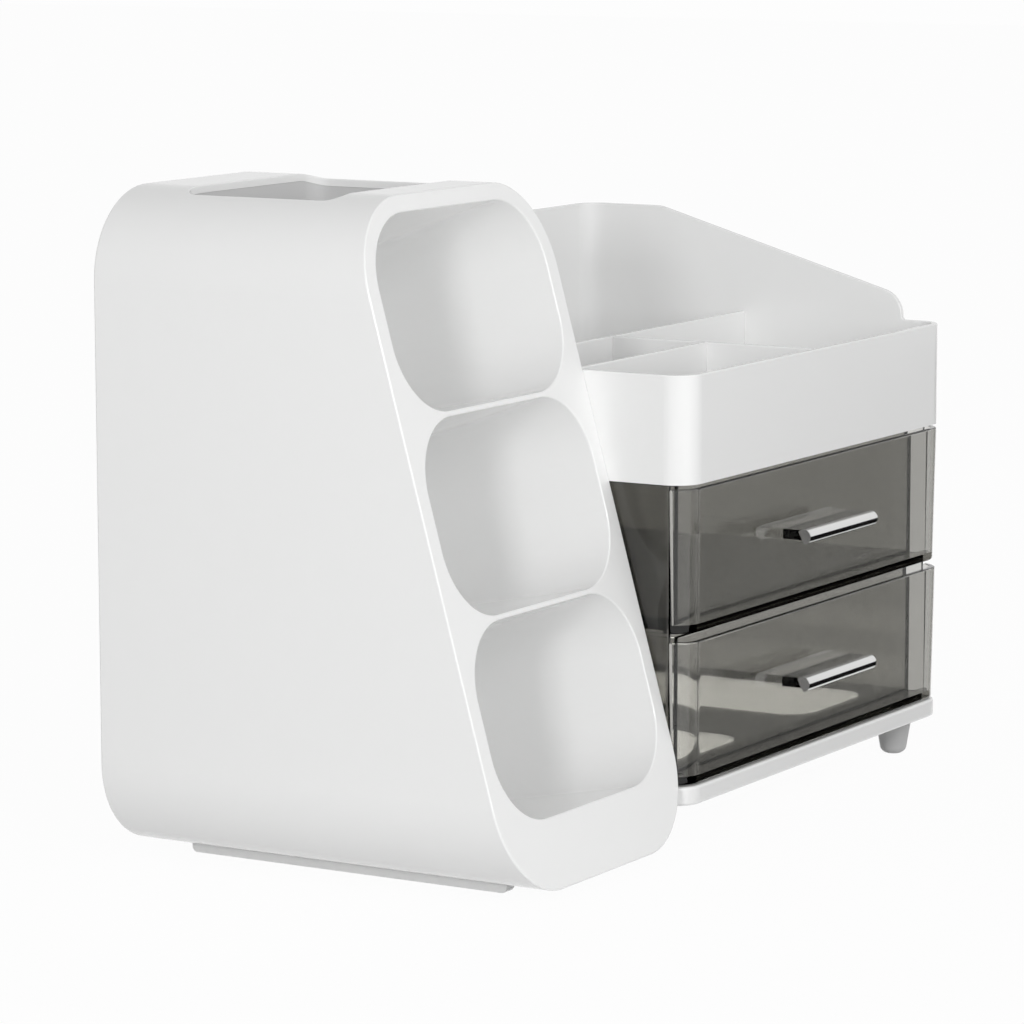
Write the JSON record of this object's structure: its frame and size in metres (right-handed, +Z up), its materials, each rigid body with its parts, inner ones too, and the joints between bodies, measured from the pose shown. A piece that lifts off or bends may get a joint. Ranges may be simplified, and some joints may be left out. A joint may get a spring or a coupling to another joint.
{
  "type": "brush holder with drawer",
  "caption": "Desk organiser: slanted brush holder with stacked rounded cups, beside an open divided tray over smoky see-through drawers with plated handles.",
  "frame": {"origin": "middle of the whole organiser's extent, handles included, on the surface it stands on", "axes": "+X to the right along the front, +Y to the back, +Z up; the mouths and the drawers face -Y"},
  "size_m": [0.3216, 0.1712, 0.2296],
  "materials": {
    "white_plastic": "smooth glossy white moulding",
    "smoky_plastic": "clear plastic tinted smoky grey, polished",
    "handle_plating": "bright plating",
    "foot_rubber": "soft satin grey"
  },
  "bodies": {
    "organiser": {"holder_shell": "white_plastic", "cup_lower": "white_plastic", "cup_middle": "white_plastic", "cup_upper": "white_plastic", "top_well": "white_plastic", "holder_back_panel": "white_plastic", "base": "white_plastic", "tray": "white_plastic", "long_divider": "white_plastic", "deep_divider": "white_plastic", "short_divider": "white_plastic", "joining_rivets": "white_plastic", "foot_rail_left": "white_plastic", "foot_rail_right": "white_plastic", "lower_casing": "smoky_plastic", "upper_casing": "smoky_plastic", "foot_front_right": "foot_rubber", "foot_back_right": "foot_rubber"},
    "lower_drawer_body": {"lower_drawer": "smoky_plastic", "lower_handle": "handle_plating"},
    "upper_drawer_body": {"upper_drawer": "smoky_plastic", "upper_handle": "handle_plating"}
  },
  "joints": [
    {"name": "lower_drawer_slide", "type": "slide", "parent": "organiser", "child": "lower_drawer_body", "axis": [0, -1, 0], "range_m": [0, 0.105]},
    {"name": "upper_drawer_slide", "type": "slide", "parent": "organiser", "child": "upper_drawer_body", "axis": [0, -1, 0], "range_m": [0, 0.105]}
  ]
}
